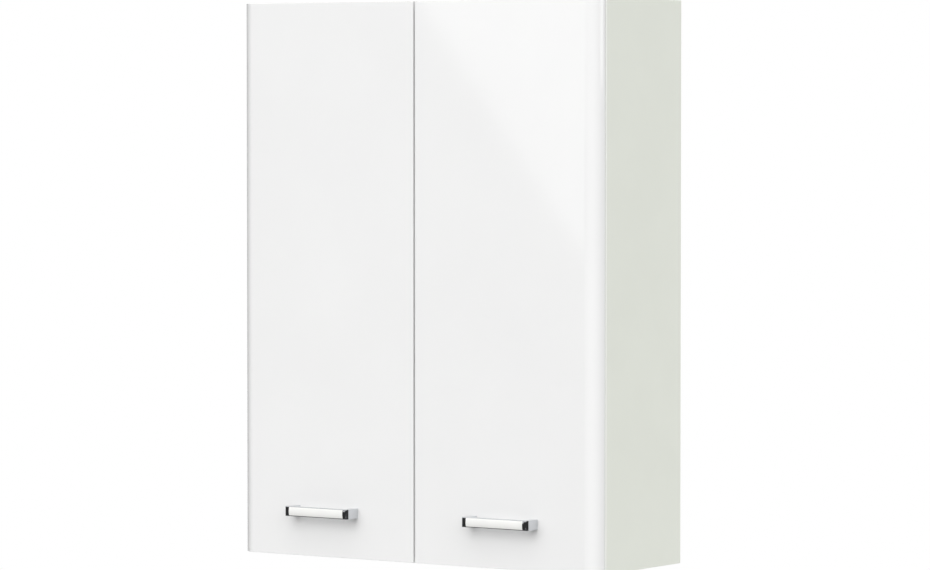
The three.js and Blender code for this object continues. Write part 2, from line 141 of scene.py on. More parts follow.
def newRod(name, centre, radius, length, axis="z", steps=32):
    turns = {"x": (0, math.pi / 2, 0), "y": (math.pi / 2, 0, 0), "z": (0, 0, 0)}
    deselect()
    bpy.ops.mesh.primitive_cylinder_add(
        vertices=steps, radius=radius, depth=length, location=centre, rotation=turns[axis])
    obj = bpy.context.active_object
    obj.name = name
    applyPlace(obj)
    return obj


def joinAll(objects, name):
    deselect()
    for obj in objects:
        obj.select_set(True)
    bpy.context.view_layer.objects.active = objects[0]
    bpy.ops.object.join()
    joined = bpy.context.active_object
    joined.name = name
    return joined


def useBoolean(obj, tool, operation):
    focus(obj)
    modifier = obj.modifiers.new("cut", "BOOLEAN")
    modifier.operation = operation
    modifier.solver = "EXACT"
    modifier.use_self = True
    modifier.object = tool
    bpy.ops.object.modifier_apply(modifier=modifier.name)
    bpy.data.objects.remove(tool)


sharpAngle = 50
blockAngle = 60
closeBy = 0.01 * mm


def isSharp(edge):
    return len(edge.link_faces) == 2 and edge.calc_face_angle(0) > math.radians(sharpAngle)


def nearPlace(x=None, y=None, z=None):
    # picks the edges whose both ends lie at the given coordinates
    wanted = [(i, value) for i, value in enumerate((x, y, z)) if value is not None]
    return lambda edge: all(abs(v.co[i] - value) < closeBy for v in edge.verts for i, value in wanted)


def alongAxis(axis):
    i = "xyz".index(axis)
    others = [j for j in range(3) if j != i]
    return lambda edge: all(abs(edge.verts[0].co[j] - edge.verts[1].co[j]) < closeBy for j in others)


def roundEdges(obj, width, segments, chosen):
    focus(obj)
    bpy.ops.object.mode_set(mode="EDIT")
    bpy.ops.mesh.select_mode(type="EDGE")
    bpy.ops.mesh.select_all(action="DESELECT")
    mesh = bmesh.from_edit_mesh(obj.data)
    for edge in mesh.edges:
        edge.select_set(chosen(edge))
    bmesh.update_edit_mesh(obj.data)
    bpy.ops.mesh.bevel(offset=width, segments=segments, clamp_overlap=False)
    bpy.ops.object.mode_set(mode="OBJECT")


def softenEdges(obj, width, segments=2, degrees=sharpAngle):
    focus(obj)
    modifier = obj.modifiers.new("arris", "BEVEL")
    modifier.width = width
    modifier.segments = segments
    modifier.limit_method = "ANGLE"
    modifier.angle_limit = math.radians(degrees)
    bpy.ops.object.modifier_apply(modifier=modifier.name)


def keepFlat(obj):
    # the large faces hold their own direction, so a flat board reflects as a flat one
    focus(obj)
    modifier = obj.modifiers.new("flatness", "WEIGHTED_NORMAL")
    modifier.keep_sharp = True
    modifier.weight = 100
    bpy.ops.object.modifier_apply(modifier=modifier.name)


def tidyMesh(obj, smoothAngle):
    focus(obj)
    bpy.ops.object.mode_set(mode="EDIT")
    bpy.ops.mesh.select_all(action="SELECT")
    bpy.ops.mesh.remove_doubles(threshold=0.000002)
    bpy.ops.mesh.normals_make_consistent(inside=False)
    bpy.ops.object.mode_set(mode="OBJECT")
    bpy.ops.object.shade_smooth_by_angle(angle=math.radians(smoothAngle))
    keepFlat(obj)


def boxOf(obj):
    places = [v.co for v in obj.data.vertices]
    low = Vector(min(p[i] for p in places) for i in range(3))
    high = Vector(max(p[i] for p in places) for i in range(3))
    return low, high


def newTurned(name, rings, steps):
    # a turned piece: rings are (distance, radius) from one end to the other, along z
    start, radius = rings[0]
    deselect()
    bpy.ops.mesh.primitive_circle_add(
        vertices=steps, radius=radius, fill_type="NGON", location=(0, 0, start))
    obj = bpy.context.active_object
    obj.name = name
    applyPlace(obj)
    bpy.ops.object.mode_set(mode="EDIT")
    bpy.ops.mesh.select_mode(type="FACE")
    bpy.ops.mesh.select_all(action="SELECT")
    for (at, radius), (nextAt, nextRadius) in zip(rings, rings[1:]):
        bpy.ops.mesh.extrude_region_move(TRANSFORM_OT_translate={"value": (0, 0, nextAt - at)})
        ratio = nextRadius / radius
        bpy.ops.transform.resize(value=(ratio, ratio, 1), center_override=(0, 0, nextAt))
    bpy.ops.mesh.select_all(action="SELECT")
    bpy.ops.mesh.normals_make_consistent(inside=False)
    bpy.ops.object.mode_set(mode="OBJECT")
    return obj


def placeTurned(obj, place, axis):
    # turns a piece made along z to point along the axis, with its zero at the place
    turns = {"+x": (0, math.pi / 2, 0), "-x": (0, -math.pi / 2, 0), "+y": (-math.pi / 2, 0, 0),
             "-y": (math.pi / 2, 0, 0), "+z": (0, 0, 0), "-z": (math.pi, 0, 0)}
    obj.rotation_euler = turns[axis]
    obj.location = place
    applyPlace(obj)


pressedAngle = 40


def refined(node, name, width, segments):
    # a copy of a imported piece, with its triangles merged and its edges rounded like those of pressed steel
    source = nodes[node]
    copy = bpy.data.objects.new(name, source.data.copy())
    bpy.context.scene.collection.objects.link(copy)
    focus(copy)
    bpy.ops.object.mode_set(mode="EDIT")
    bpy.ops.mesh.select_all(action="SELECT")
    bpy.ops.mesh.remove_doubles(threshold=0.00001)
    bpy.ops.mesh.dissolve_limited(angle_limit=math.radians(1))
    bpy.ops.object.mode_set(mode="OBJECT")
    softenEdges(copy, width, segments, pressedAngle)
    tidyMesh(copy, pressedAngle)
    return copy


def copyMoved(obj, name, shift):
    focus(obj)
    bpy.ops.object.duplicate()
    copy = bpy.context.active_object
    copy.name = name
    copy.location = shift
    applyPlace(copy)
    return copy


def mirrorCopy(obj, name):
    # the left-hand piece is the right-hand one reflected in the cabinet's middle
    copy = copyMoved(obj, name, (0, 0, 0))
    copy.scale.x = -1
    applyPlace(copy)
    bpy.ops.mesh.customdata_custom_splitnormals_clear()
    bpy.ops.object.mode_set(mode="EDIT")
    bpy.ops.mesh.select_all(action="SELECT")
    bpy.ops.mesh.normals_make_consistent(inside=False)
    bpy.ops.object.mode_set(mode="OBJECT")
    keepFlat(copy)
    return copy


def paintFaces(obj, material, chosen):
    obj.data.materials.append(material)
    index = len(obj.data.materials) - 1
    for face in obj.data.polygons:
        if chosen(face):
            face.material_index = index


def settle(obj, body, material, replaced=()):
    obj.data.materials.clear()
    obj.data.materials.append(material)
    for face in obj.data.polygons:
        face.material_index = 0
    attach(obj, body)
    if replaced:
        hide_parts(*replaced)
    return obj


def bothSides(right, kind, body, material, node=None, paint=None, suffix=""):
    # a right-hand piece and its mirror image; {side} in body and node stands for left or right
    left = mirrorCopy(right, f"{kind}_left{suffix}")
    right.name = f"{kind}_right{suffix}"
    for side, obj in (("left", left), ("right", right)):
        settle(obj, body.format(side=side), material, [node.format(side=side)] if node else ())
        if paint:
            paint(obj)


def spread(first, kind, shifts, body, material, node=None):
    # copies of a right-hand piece at each labelled shift, and their mirror images
    for label, shift in shifts.items():
        right = copyMoved(first, kind, shift)
        named = node.replace("{label}", label) if node else None
        bothSides(right, kind, body, material, named, suffix="_" + label)
    bpy.data.objects.remove(first)


# materials
def startMaterial(name):
    material = bpy.data.materials.new(name)
    material.use_nodes = True
    tree = material.node_tree
    shader = tree.nodes["Principled BSDF"]
    place = addNode(tree, "ShaderNodeTexCoord")
    return material, tree, shader, place.outputs["Object"]


def colourRamp(tree, noise, dark, light, start, end):
    ramp = addNode(tree, "ShaderNodeValToRGB", links={"Fac": noise.outputs["Fac"]})
    for element, position, colour in zip(ramp.color_ramp.elements, (start, end), (dark, light)):
        element.position = position
        element.color = hexColour(colour)
    return ramp.outputs["Color"]


def mottledColour(tree, place, shader, dark, light, scale, detail=3):
    noise = addNode(tree, "ShaderNodeTexNoise", inputs={"Scale": scale, "Detail": detail},
                    links={"Vector": place})
    tree.links.new(colourRamp(tree, noise, dark, light, 0.3, 0.7), shader.inputs["Base Color"])


def variedRoughness(tree, place, shader, low, high, scale):
    noise = addNode(tree, "ShaderNodeTexNoise", inputs={"Scale": scale, "Detail": 4},
                    links={"Vector": place})
    varied = addNode(tree, "ShaderNodeMapRange", inputs={"To Min": low, "To Max": high},
                     links={"Value": noise.outputs["Fac"]})
    tree.links.new(varied.outputs["Result"], shader.inputs["Roughness"])


def addBump(tree, place, shader, scale, height, stretch=(1, 1, 1)):
    mapping = addNode(tree, "ShaderNodeMapping", inputs={"Scale": stretch}, links={"Vector": place})
    noise = addNode(tree, "ShaderNodeTexNoise", inputs={"Scale": scale},
                    links={"Vector": mapping.outputs["Vector"]})
    bump = addNode(tree, "ShaderNodeBump", inputs={"Distance": height, "Strength": 1.0},
                   links={"Height": noise.outputs["Fac"]})
    tree.links.new(bump.outputs["Normal"], shader.inputs["Normal"])


def glossLacquer():
    # sprayed polyester lacquer on MDF, polished: white and mirror-like, with a trace of orange peel
    material, tree, shader, place = startMaterial("gloss_lacquer_on_mdf")
    mottledColour(tree, place, shader, "#F2F2F2", "#F4F4F4", 6)
    variedRoughness(tree, place, shader, 0.07, 0.1, 40)
    addBump(tree, place, shader, 250, 0.000004)
    shader.inputs["IOR"].default_value = 1.5
    shader.inputs["Coat Weight"].default_value = 0.9
    shader.inputs["Coat Roughness"].default_value = 0.04
    return material


def pearlMelamine():
    # melamine-faced chipboard, pressed against a pearl-textured plate: matt, with a fine grain 0.6 mm across
    material, tree, shader, place = startMaterial("pearl_melamine")
    mottledColour(tree, place, shader, "#EAEDE4", "#ECEFE6", 12)
    variedRoughness(tree, place, shader, 0.46, 0.56, 60)
    addBump(tree, place, shader, 1600, 0.00004)
    return material


def edgeTapeAndPaintedLight():
    # ABS edging, extruded and buffed: a little glossier than the board's faces, and whiter, partly as painted
    # light: the extra whiteness is a painted highlight for the light that catches the carcass's front edge in
    # the gap behind the doors
    material, tree, shader, place = startMaterial("abs_edge_tape")
    mottledColour(tree, place, shader, "#F3F4F0", "#F6F7F3", 30)
    variedRoughness(tree, place, shader, 0.32, 0.42, 90)
    addBump(tree, place, shader, 900, 0.00001, stretch=(1, 1, 0.05))
    return material


def backBoard():
    # hardboard: white printed lacquer towards the inside, bare brown fibres towards the wall
    material, tree, shader, place = startMaterial("lacquered_hardboard")
    fibres = addNode(tree, "ShaderNodeTexNoise", inputs={"Scale": 700, "Detail": 6, "Roughness": 0.7},
                     links={"Vector": place})
    brown = colourRamp(tree, fibres, "#A98D6B", "#C2A985", 0.35, 0.65)
    facing = addNode(tree, "ShaderNodeNewGeometry")
    split = addNode(tree, "ShaderNodeSeparateXYZ", links={"Vector": facing.outputs["True Normal"]})
    rear = addNode(tree, "ShaderNodeMath", settings={"operation": "GREATER_THAN"}, inputs={1: 0.5},
                   links={0: split.outputs["Y"]})
    mix = addNode(tree, "ShaderNodeMix", settings={"data_type": "RGBA"}, inputs={6: hexColour("#E6E7E1")},
                  links={0: rear.outputs[0], 7: brown})
    tree.links.new(mix.outputs[2], shader.inputs["Base Color"])
    addBump(tree, place, shader, 900, 0.00003)
    shader.inputs["Roughness"].default_value = 0.6
    return material


def metal(name, colour, low, high, scale, grain=0.0, stretch=(1, 1, 1)):
    material, tree, shader, place = startMaterial(name)
    shader.inputs["Base Color"].default_value = hexColour(colour)
    shader.inputs["Metallic"].default_value = 1.0
    variedRoughness(tree, place, shader, low, high, scale)
    if grain:
        addBump(tree, place, shader, scale * 3, grain, stretch=stretch)
    return material


def moulded(name, dark, light, low, high, grain=0.00001):
    material, tree, shader, place = startMaterial(name)
    mottledColour(tree, place, shader, dark, light, 40)
    variedRoughness(tree, place, shader, low, high, 120)
    addBump(tree, place, shader, 1400, grain)
    return material


def softSilicone():
    # clear cast silicone: milky and soft-edged, with light passing through
    material, tree, shader, place = startMaterial("clear_silicone")
    mottledColour(tree, place, shader, "#E8EBEC", "#F2F4F4", 80)
    variedRoughness(tree, place, shader, 0.25, 0.35, 200)
    shader.inputs["Transmission Weight"].default_value = 0.6
    shader.inputs["IOR"].default_value = 1.41
    return material


def backingPaper():
    # melamine balancing paper on the door's back: plain matt white
    material, tree, shader, place = startMaterial("melamine_backing_paper")
    mottledColour(tree, place, shader, "#E9E9E5", "#EEEEEA", 20)
    variedRoughness(tree, place, shader, 0.42, 0.5, 80)
    addBump(tree, place, shader, 1200, 0.00001)
    return material


def rawFibreboard():
    # medium-density fibreboard, bored: light brown, with fine darker fibres and no gloss
    material, tree, shader, place = startMaterial("bored_fibreboard")
    mottledColour(tree, place, shader, "#A98A63", "#C4A57C", 900, 6)
    variedRoughness(tree, place, shader, 0.8, 0.9, 200)
    addBump(tree, place, shader, 1100, 0.00004)
    return material


lacquer = glossLacquer()
melamine = pearlMelamine()
tapeAndPaintedLight = edgeTapeAndPaintedLight()
hardboard = backBoard()
# chrome plate on polished zinc: a cool near mirror, with the faint unevenness of plating
chrome = metal("polished_chrome_plate", "#D5D7DA", 0.045, 0.08, 60)
# nickel plate on pressed steel: warm grey, satin from the press and the barrel
nickel = metal("satin_nickel_plate", "#C6C3BA", 0.22, 0.34, 180, 0.000006)
# zinc plate with a clear passivate: bluish white, drawn lines along the strip
zinc = metal("zinc_plated_steel", "#BEC3C7", 0.28, 0.42, 220, 0.00001, (0.05, 1, 1))
# die-cast zinc alloy, tumbled and left bare: dull grey
castZinc = metal("die_cast_zinc", "#A3A6A8", 0.4, 0.55, 260, 0.00002)
# injection-moulded ABS with a polished tool: even white gloss
stripPlastic = moulded("gloss_white_abs", "#EFEFED", "#F2F2F0", 0.12, 0.18, 0.000002)
# injection-moulded nylon from a spark-eroded tool: fine even matt
hangerPlastic = moulded("white_nylon", "#E4E5E1", "#E9EAE6", 0.4, 0.5, 0.00002)
silicone = softSilicone()
backing = backingPaper()
rawBoard = rawFibreboard()
print("materials made")


# camera and light
cameraSet = {"azimuth": 34.50, "elevation": 2.216, "distance": 6.345, "lens": 175.0,
             "aimRight": 0.0059, "aimBehind": -0.1, "aimUp": -0.0069}


def placeCamera():
    low, high = cadBox
    middle = (Vector(low) + Vector(high)) / 2
    aim = Vector((middle.x + cameraSet["aimRight"], cameraSet["aimBehind"], middle.z + cameraSet["aimUp"]))
    azimuth = math.radians(cameraSet["azimuth"])
    elevation = math.radians(cameraSet["elevation"])
    away = Vector((math.sin(azimuth) * math.cos(elevation),
                   -math.cos(azimuth) * math.cos(elevation),
                   math.sin(elevation)))
    data = bpy.data.cameras.new("camera")
    data.lens = cameraSet["lens"]
    data.sensor_width = 36.0
    data.clip_end = 100
    camera = bpy.data.objects.new("camera", data)
    bpy.context.scene.collection.objects.link(camera)
    camera.location = aim + away * cameraSet["distance"]
    camera.rotation_euler = (aim - camera.location).to_track_quat("-Z", "Y").to_euler()
    bpy.context.scene.camera = camera


softboxes = [
    {"name": "overhead_box", "place": (0.3, -1.7, 2.4), "size": (2.6, 1.6), "watts": 13},
    {"name": "front_box", "place": (0.3, -3.2, 1.5), "size": (1.8, 1.3), "watts": 9},
    {"name": "side_box", "place": (3.2, 1.0, 0.9), "size": (1.6, 2.0), "watts": 13},
    {"name": "rear_box", "place": (-1.2, 2.8, 0.6), "size": (1.6, 1.6), "watts": 24},
]
# a weak panel in front of the doors, set askew, whose slanting edge shows in the right door's gloss
glossPanel = {"name": "gloss_panel", "place": (-0.90, -2.2, 0.31), "size": (1.0, 1.0), "watts": 2.4}
glossTilt = -38
lampTarget = Vector((0, -0.1, -0.3))


def addBox(box, rotation):
    data = bpy.data.lights.new(box["name"], "AREA")
    data.shape = "RECTANGLE"
    data.size, data.size_y = box["size"]
    data.energy = box["watts"]
    lamp = bpy.data.objects.new(box["name"], data)
    bpy.context.scene.collection.objects.link(lamp)
    lamp.location = box["place"]
    lamp.rotation_euler = rotation
    lamp.visible_camera = False


def placeLights():
    for box in softboxes:
        towards = lampTarget - Vector(box["place"])
        addBox(box, towards.to_track_quat("-Z", "Y").to_euler())
    addBox(glossPanel, (math.radians(90), math.radians(glossTilt), 0))


roomSet = {"level": 1.74, "front": 2.1, "rear": 0.2, "left": 0.15, "leftFades": 0.1,
           "walls": ((0.0, 0.05), (0.45, 0.1), (0.55, 0.4), (0.7, 0.8), (1.0, 0.35)),
           "mirrored": ((0.0, 0.1), (0.3, 0.04), (0.72, 0.04), (0.75, 0.95), (1.0, 1.0)),
           "table": ((0.0, 0.9), (0.39, 0.9), (0.44, 0.0)), "tableTowards": (0.77, -0.64, 0),
           "tableEdge": (0.6, 0.8), "behind": 0.5, "behindEdge": (0.2, 0.5)}


def greyRamp(tree, height, stops):
    # stops are (height from the ground to straight up, brightness)
    ramp = addNode(tree, "ShaderNodeValToRGB", links={"Fac": height})
    elements = ramp.color_ramp.elements
    elements.remove(elements[1])
    elements[0].position, level = stops[0]
    elements[0].color = (level, level, level, 1)
    for position, level in stops[1:]:
        elements.new(position).color = (level, level, level, 1)
    return ramp.outputs["Color"]


def fadeAlong(tree, value, start, end, first=0.0, last=1.0):
    fade = addNode(tree, "ShaderNodeMapRange", links={"Value": value}, inputs={
        "From Min": start, "From Max": end, "To Min": first, "To Max": last})
    return fade.outputs["Result"]


def timesOf(tree, value, factor=None, links=None):
    # the second factor is a number or, in links, another node's output
    product = addNode(tree, "ShaderNodeMath", settings={"operation": "MULTIPLY"},
                      inputs={1: factor} if factor else None, links={0: value, **(links or {})})
    return product.outputs[0]


def addLight(tree, amount, under, inputs=None, links=None):
    # adds the colour of socket 7 to the one under it, by the given amount
    mix = addNode(tree, "ShaderNodeMix", settings={"data_type": "RGBA", "blend_type": "ADD"},
                  inputs=inputs, links={0: amount, 6: under, **(links or {})})
    return mix.outputs[2]


def lightWorld():
    # a room that is bright above and in front, on a white background; in reflections it is darker, with a
    # bright ceiling, a pale table at the front right and a grey wall behind
    world = bpy.data.worlds.new("studio")
    bpy.context.scene.world = world
    world.use_nodes = True
    tree = world.node_tree
    tree.nodes.clear()
    place = addNode(tree, "ShaderNodeTexCoord").outputs["Generated"]
    split = addNode(tree, "ShaderNodeSeparateXYZ", links={"Vector": place})
    height = fadeAlong(tree, split.outputs["Z"], -1.0, 1.0)
    forwards = fadeAlong(tree, split.outputs["Y"], -1.0, 1.0, roomSet["front"], roomSet["rear"])
    sideways = fadeAlong(tree, split.outputs["X"], -1.0, roomSet["leftFades"], roomSet["left"])
    level = timesOf(tree, timesOf(tree, forwards, links={1: sideways}), roomSet["level"])
    room = addNode(tree, "ShaderNodeBackground",
                   links={"Color": greyRamp(tree, height, roomSet["walls"]), "Strength": level})

    towards = addNode(tree, "ShaderNodeVectorMath", settings={"operation": "DOT_PRODUCT"},
                      inputs={1: roomSet["tableTowards"]}, links={0: place})
    onTable = fadeAlong(tree, towards.outputs["Value"], *roomSet["tableEdge"])
    behind = timesOf(tree, fadeAlong(tree, split.outputs["Y"], *roomSet["behindEdge"]), roomSet["behind"])
    mirrored = greyRamp(tree, height, roomSet["mirrored"])
    mirrored = addLight(tree, onTable, mirrored, links={7: greyRamp(tree, height, roomSet["table"])})
    mirrored = addLight(tree, behind, mirrored, inputs={7: (1, 1, 1, 1)})
    reflected = addNode(tree, "ShaderNodeBackground", links={"Color": mirrored})

    white = addNode(tree, "ShaderNodeBackground", inputs={"Color": (1, 1, 1, 1), "Strength": 1.0})
    ray = addNode(tree, "ShaderNodeLightPath")
    seen = addNode(tree, "ShaderNodeMixShader", links={
        0: ray.outputs["Is Glossy Ray"], 1: room.outputs[0], 2: reflected.outputs[0]})
    pick = addNode(tree, "ShaderNodeMixShader", links={
        0: ray.outputs["Is Camera Ray"], 1: seen.outputs[0], 2: white.outputs[0]})
    addNode(tree, "ShaderNodeOutputWorld", links={"Surface": pick.outputs[0]})


floorSet = {"below": 1.25, "size": 6.0}


def layFloor():
    # the cabinet hangs at head height, so the floor is well below it
    low = cadBox[0]
    deselect()
    bpy.ops.mesh.primitive_plane_add(size=floorSet["size"], location=(0, 0, low[2] - floorSet["below"]))
    floor = bpy.context.active_object
    floor.name = "floor"
    applyPlace(floor)
    material, tree, shader, place = startMaterial("pale_floor")
    mottledColour(tree, place, shader, "#BCBCBA", "#C1C1BF", 2)
    shader.inputs["Roughness"].default_value = 0.7
    floor.data.materials.append(material)
    floor.visible_glossy = False


placeCamera()
placeLights()
lightWorld()
layFloor()
bpy.context.scene.view_settings.view_transform = "Standard"
print("camera, light and floor placed")


# doors
doorSet = {"round": 20.6 * mm, "roundSteps": 24, "arris": 0.5 * mm, "boreGap": 0.3 * mm,
           "wingGap": 0.3 * mm, "screwHole": 2.2 * mm, "holeLength": 60 * mm, "smooth": 30,
           "margin": 3 * mm, "skin": 0.05 * mm}


def makeDoor():
    door = newBlock("door_panel", doorLow, doorHigh)
    roundEdges(door, doorSet["round"], doorSet["roundSteps"], nearPlace(x=doorHigh.x, y=doorLow.y))
    roundEdges(door, doorSet["arris"], 2, nearPlace(x=doorHigh.x, y=doorHigh.y))
    softenEdges(door, doorSet["arris"], 3, blockAngle)
    for level in levels:
        low, high = nodeBox("hinge_cup_right_" + level)
        middle = Vector((cupCentreX, doorRear, hingeHeights[level]))
        boreDepth = high.y - low.y + doorSet["boreGap"]
        bore = newRod("bore", middle, cupRadius + doorSet["boreGap"], 2 * boreDepth, "y", 96)
        useBoolean(door, bore, "DIFFERENCE")
        gap = doorSet["wingGap"]
        half = Vector((wingSet["halfWidth"] + gap, wingSet["thickness"] + gap, wingSet["halfLength"] + gap))
        centre = Vector((wingX, doorRear, hingeHeights[level]))
        recess = newBlock("recess", centre - half, centre + half)
        roundEdges(recess, cupSet["corner"], 8, alongAxis("y"))
        useBoolean(door, recess, "DIFFERENCE")
    for end in ("inner", "outer"):
        centre = nodeMiddle("handle_screw_right_" + end)
        hole = newRod("hole", centre, doorSet["screwHole"], doorSet["holeLength"], "y", 24)
        useBoolean(door, hole, "DIFFERENCE")
    tidyMesh(door, doorSet["smooth"])
    return door


def paintDoor(door):
    # the back is matt backing paper, the top and bottom ends are taped, and every bore shows the raw board
    margin = doorSet["margin"]

    def onBack(face):
        return face.normal.y > 0.9 and face.center.y > doorRear - doorSet["skin"]

    def onEnd(face):
        return abs(face.normal.z) > 0.9 and not doorLow.z + margin < face.center.z < doorHigh.z - margin

    def inBore(face):
        sunk = face.center.y < doorRear - doorSet["skin"] and face.normal.y > -0.5
        across = doorLow.x + margin < abs(face.center.x) < doorHigh.x - margin
        along = doorLow.z + margin < face.center.z < doorHigh.z - margin
        return sunk and across and along

    paintFaces(door, backing, onBack)
    paintFaces(door, tapeAndPaintedLight, onEnd)
    paintFaces(door, rawBoard, inBore)


bothSides(makeDoor(), "door_panel", "door_{side}", lacquer, "door_{side}", paintDoor)
print("doors made")


# handles
bowSet = {"corner": 5.5 * mm, "innerCorner": 3.0 * mm, "leg": 10 * mm, "bar": 6 * mm, "arris": 0.5 * mm,
          "endStrip": 8.4 * mm, "lip": 0.9 * mm, "pocket": 2.0 * mm, "crown": 1.5 * mm, "smooth": 32}
stripSet = {"arris": 0.2 * mm}


def crownWith(obj, low, high):
    # the front is a shallow arc across the handle's height
    halfHeight = (high.z - low.z) / 2
    radius = (halfHeight ** 2 + bowSet["crown"] ** 2) / (2 * bowSet["crown"])
    centre = Vector(((low.x + high.x) / 2, low.y + radius, (low.z + high.z) / 2))
    useBoolean(obj, newRod("crown", centre, radius, 2 * (high.x - low.x), "x", 192), "INTERSECT")


def makeBow():
    low, high = nodeBox("handle_bow_right")
    bow = newBlock("bow", low, high)
    for x in (low.x, high.x):
        roundEdges(bow, bowSet["corner"], 12, nearPlace(x=x, y=low.y))
    gapLow = Vector((low.x + bowSet["leg"], low.y + bowSet["bar"], low.z - through))
    gapHigh = Vector((high.x - bowSet["leg"], high.y + through, high.z + through))
    gap = newBlock("gap", gapLow, gapHigh)
    for x in (gapLow.x, gapHigh.x):
        roundEdges(gap, bowSet["innerCorner"], 8, nearPlace(x=x, y=gapLow.y))
    useBoolean(bow, gap, "DIFFERENCE")
    crownWith(bow, low, high)
    softenEdges(bow, bowSet["arris"], 3)
    pocketLow = Vector((low.x + bowSet["endStrip"], low.y - through, low.z + bowSet["lip"]))
    pocketHigh = Vector((high.x - bowSet["endStrip"], low.y + bowSet["pocket"], high.z - bowSet["lip"]))
    useBoolean(bow, newBlock("pocket", pocketLow, pocketHigh), "DIFFERENCE")
    tidyMesh(bow, bowSet["smooth"])
    return bow


def makeStrip():
    bowLow, bowHigh = nodeBox("handle_bow_right")
    low, high = nodeBox("handle_insert_right")
    strip = newBlock("strip", low, high)
    crownWith(strip, bowLow, bowHigh)
    softenEdges(strip, stripSet["arris"])
    tidyMesh(strip, bowSet["smooth"])
    return strip


# pan-headed screws: head and shank are radii, and the other numbers are parts of the head's size
screwSet = {
    "tip": 0.35, "tipLength": 1.5 * mm, "shoulder": (0.8, 0.86), "crown": 0.6, "side": 0.45,
    "recess": (1.1, 0.24), "recessDepth": 0.6,
    "handle": {"head": 4.0 * mm, "height": 1.7 * mm, "shank": 1.9 * mm, "length": 34 * mm},
    "plate": {"head": 3.8 * mm, "height": 1.6 * mm, "shank": 1.9 * mm, "length": 12 * mm},
    "cup": {"head": 3.7 * mm, "height": 0.5 * mm, "shank": 1.8 * mm, "length": 11 * mm},
    "arm": {"head": 3.1 * mm, "height": 0.9 * mm, "shank": 2.4 * mm, "length": 4 * mm},
    "hanger": {"head": 2.9 * mm, "height": 1.2 * mm, "shank": 2.0 * mm, "length": 8 * mm},
}


def cutCross(obj, cross, depth, height):
    # a cross recess for a screwdriver, in a face at the given height; cross is its length and width
    for across, along in (cross, reversed(cross)):
        half = Vector((across / 2, along / 2, depth))
        top = Vector((0, 0, height))
        useBoolean(obj, newBlock("recess", top - half, top + half), "DIFFERENCE")


def makeScrew(kind, seat, axis):
    # a pan-headed screw with a cross recess; seat is the face its head sits on
    size = screwSet[kind]
    head, height, shank, length = size["head"], size["height"], size["shank"], size["length"]
    shoulderAt, shoulder = screwSet["shoulder"]
    rings = [(-length, screwSet["tip"] * shank), (screwSet["tipLength"] - length, shank), (0, shank),
             (0, head), (screwSet["side"] * height, head), (shoulderAt * height, shoulder * head),
             (height, screwSet["crown"] * head)]
    screw = newTurned("screw", rings, 32)
    cross = [part * head for part in screwSet["recess"]]
    cutCross(screw, cross, screwSet["recessDepth"] * height, height)
    placeTurned(screw, seat, axis)
    tidyMesh(screw, turnedAngle)
    return screw


bothSides(makeBow(), "handle", "door_{side}", chrome, "handle_bow_{side}")
bothSides(makeStrip(), "handle_strip", "door_{side}", stripPlastic, "handle_insert_{side}")
innerScrew = nodeMiddle("handle_screw_right_inner")
outerScrew = nodeMiddle("handle_screw_right_outer")
handleScrew = makeScrew("handle", (innerScrew.x, doorRear, innerScrew.z), "+y")
spread(handleScrew, "handle_bolt", {"inner": Vector(), "outer": outerScrew - innerScrew},
       "door_{side}", zinc, "handle_screw_{side}_{label}")
print("handles made")


# carcass boards
boardSet = {"tapeAndPaintedLight": 2.0 * mm, "frontArris": 2.0 * mm, "arris": 0.4 * mm, "groove": 5 * mm,
            "grooveGap": 0.3 * mm, "pinHole": 2.5 * mm, "pinHoleDepth": 11 * mm, "holePitch": 32 * mm,
            "holesEitherSide": 2, "camBore": 7.8 * mm, "camBoreDepth": 13 * mm, "boltBore": 3.9 * mm,
            "threadHole": 2.7 * mm, "threadDepth": 11 * mm, "smooth": 32}
backLow, backHigh = nodeBox("back_panel")
boltY = nodeMiddle("cam_right_top").y
camX = nodeMiddle("cam_right_top").x


def finishBoard(board):
    # the front edge is taped, so it is rounder than the cut edges
    low = boxOf(board)[0]
    roundEdges(board, boardSet["frontArris"], 6, nearPlace(y=low.y))
    roundEdges(board, boardSet["arris"], 2, isSharp)


def paintTapeAndPaintedLight(board):
    # the front edges get the tape colour, whose extra whiteness is partly a painted highlight for the lit
    # front edge
    front = boxOf(board)[0].y + boardSet["tapeAndPaintedLight"]
    paintFaces(board, tapeAndPaintedLight, lambda face: face.center.y < front)


def boreAll(board, places, radius, depth, axis, steps=32):
    rods = [newRod("hole", place, radius, 2 * depth, axis, steps) for place in places]
    useBoolean(board, joinAll(rods, "holes"), "DIFFERENCE")


def makeSidePanel():
    panel = newBlock("side", sideLow, sideHigh)
    finishBoard(panel)
    gap = boardSet["grooveGap"]
    groove = newBlock("groove", (innerX - through, backLow.y - gap, backLow.z),
                      (innerX + boardSet["groove"], backHigh.y + gap, backHigh.z))
    useBoolean(panel, groove, "DIFFERENCE")
    rows = range(-boardSet["holesEitherSide"], boardSet["holesEitherSide"] + 1)
    pins = [nodeMiddle(f"shelf_pin_right_{label}") for label in pinLabels]
    places = [(innerX, pin.y, pin.z + row * boardSet["holePitch"]) for pin in pins for row in rows]
    boreAll(panel, places, boardSet["pinHole"], boardSet["pinHoleDepth"], "x")
    places = [(innerX, boltY, nodeMiddle(f"cam_bolt_right_{level}").z) for level in levels]
    boreAll(panel, places, boardSet["threadHole"], boardSet["threadDepth"], "x", 24)
    tidyMesh(panel, boardSet["smooth"])
    return panel


